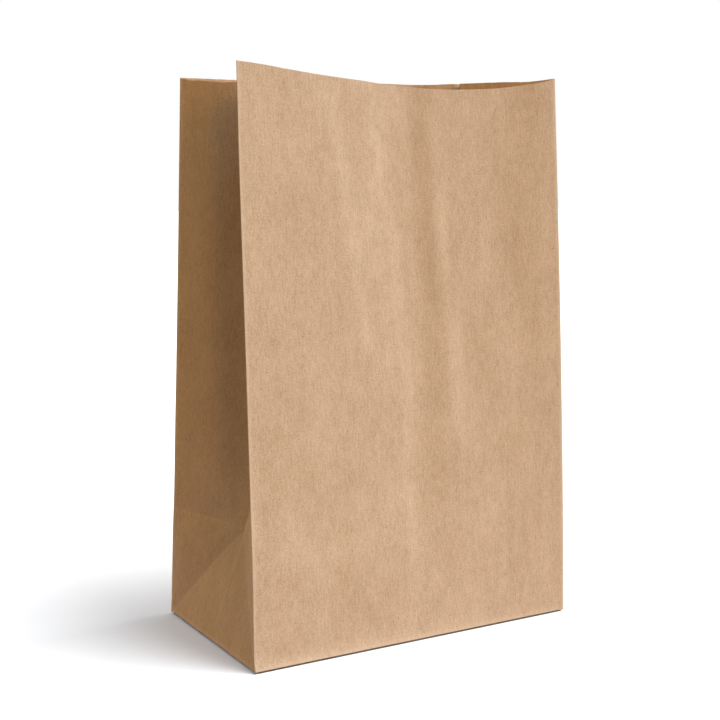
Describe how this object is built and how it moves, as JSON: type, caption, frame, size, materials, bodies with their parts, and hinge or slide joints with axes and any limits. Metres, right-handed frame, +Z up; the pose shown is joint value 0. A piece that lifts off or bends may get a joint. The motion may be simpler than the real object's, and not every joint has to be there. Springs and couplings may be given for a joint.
{
  "type": "brown paper lunch bag",
  "caption": "Open flat-bottomed paper sack with pleated side gussets, folded from brown kraft sheet, for carrying a packed lunch.",
  "frame": {"origin": "middle of the base, on its underside, where the bag rests", "axes": "+Z up through the open mouth, -Y out of the front panel, X along the front panel from one gusset to the other"},
  "size_m": [0.161, 0.0901, 0.2448],
  "materials": {
    "kraft_paper": "matte unbleached kraft paper"
  },
  "bodies": {
    "root": {"paper_bag": "kraft_paper"}
  },
  "joints": []
}
